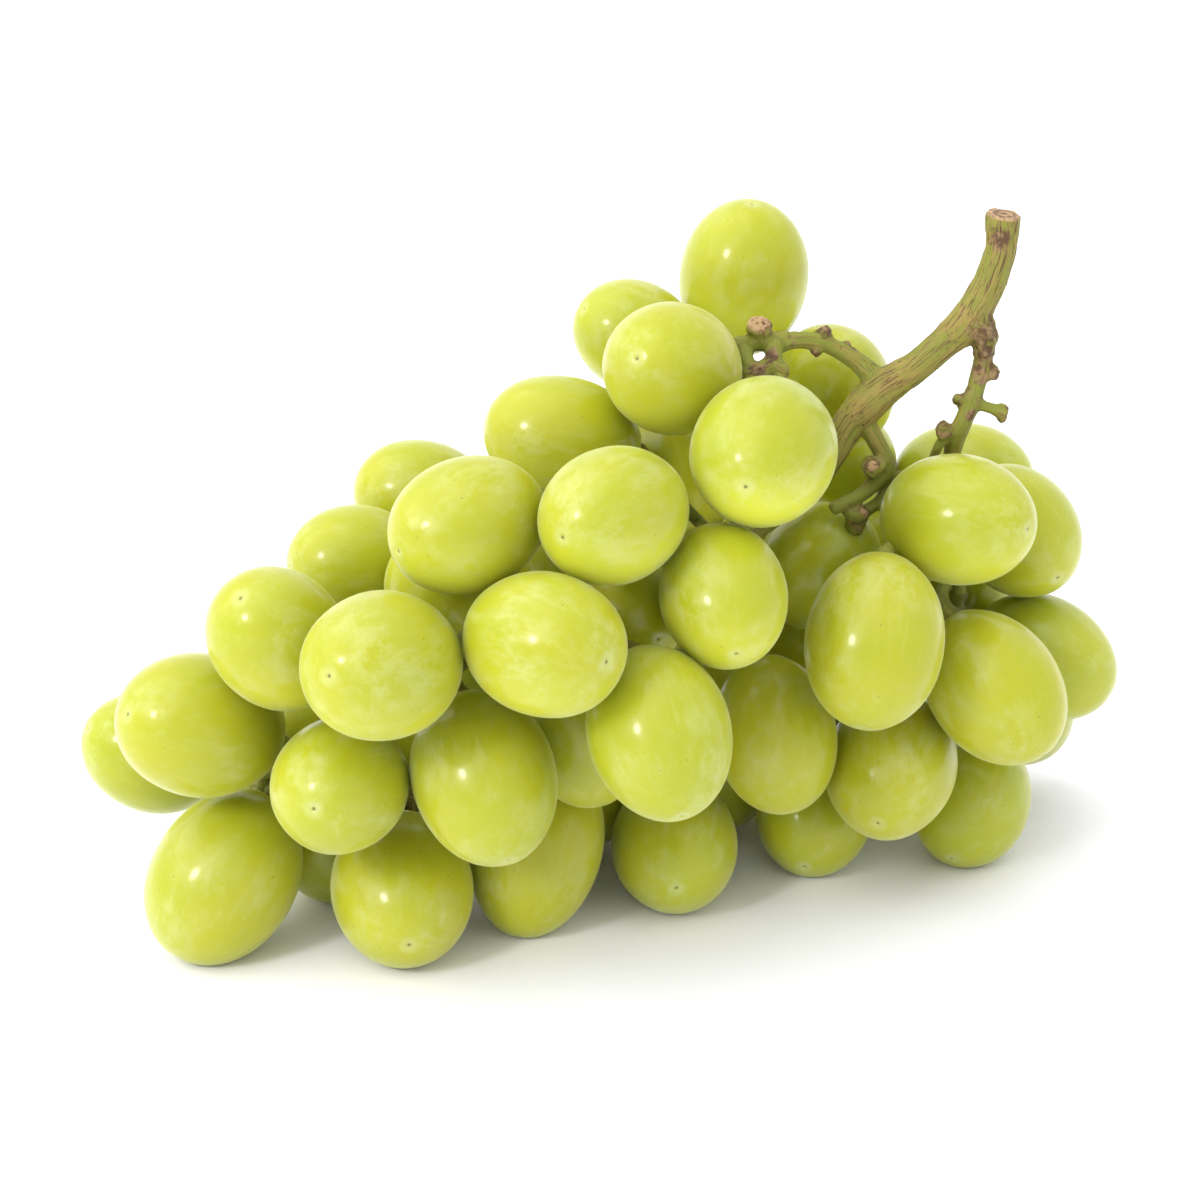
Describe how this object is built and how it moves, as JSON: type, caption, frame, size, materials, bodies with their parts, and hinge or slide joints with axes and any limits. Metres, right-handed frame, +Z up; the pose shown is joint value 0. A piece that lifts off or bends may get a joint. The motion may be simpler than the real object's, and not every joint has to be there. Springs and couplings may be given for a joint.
{
  "type": "bunch of grapes",
  "caption": "Bunch of pale green oval grapes on a branching woody stem with a cut end, lying down on its side.",
  "frame": {"origin": "middle of the bunch's outer box, at the level of the surface that it lies on", "axes": "+X along the bunch from its far tip towards its cut stem end, +Y away from the viewer of the picture, +Z up"},
  "size_m": [0.1626, 0.1074, 0.1053],
  "materials": {
    "grape_skin": "satin, with a dusty bloom",
    "stem_wood": "matt, ridged"
  },
  "bodies": {
    "root": {"stem": "stem_wood", "grape_01": "grape_skin", "grape_02": "grape_skin", "grape_03": "grape_skin", "grape_04": "grape_skin", "grape_05": "grape_skin", "grape_06": "grape_skin", "grape_07": "grape_skin", "grape_08": "grape_skin", "grape_09": "grape_skin", "grape_10": "grape_skin", "grape_11": "grape_skin", "grape_12": "grape_skin", "grape_13": "grape_skin", "grape_14": "grape_skin", "grape_15": "grape_skin", "grape_16": "grape_skin", "grape_17": "grape_skin", "grape_18": "grape_skin", "grape_19": "grape_skin", "grape_20": "grape_skin", "grape_21": "grape_skin", "grape_22": "grape_skin", "grape_23": "grape_skin", "grape_24": "grape_skin", "grape_25": "grape_skin", "grape_26": "grape_skin", "grape_27": "grape_skin", "grape_28": "grape_skin", "grape_29": "grape_skin", "grape_30": "grape_skin", "grape_31": "grape_skin", "grape_32": "grape_skin", "grape_33": "grape_skin", "grape_34": "grape_skin", "grape_35": "grape_skin", "grape_36": "grape_skin", "grape_37": "grape_skin", "grape_38": "grape_skin", "grape_39": "grape_skin", "grape_40": "grape_skin", "grape_41": "grape_skin", "grape_42": "grape_skin", "grape_43": "grape_skin", "grape_44": "grape_skin", "grape_45": "grape_skin", "grape_46": "grape_skin", "grape_47": "grape_skin", "grape_48": "grape_skin", "grape_49": "grape_skin", "grape_50": "grape_skin", "grape_51": "grape_skin", "grape_52": "grape_skin", "grape_53": "grape_skin", "grape_54": "grape_skin", "grape_55": "grape_skin", "grape_56": "grape_skin", "grape_57": "grape_skin", "grape_58": "grape_skin", "grape_59": "grape_skin"}
  },
  "joints": []
}
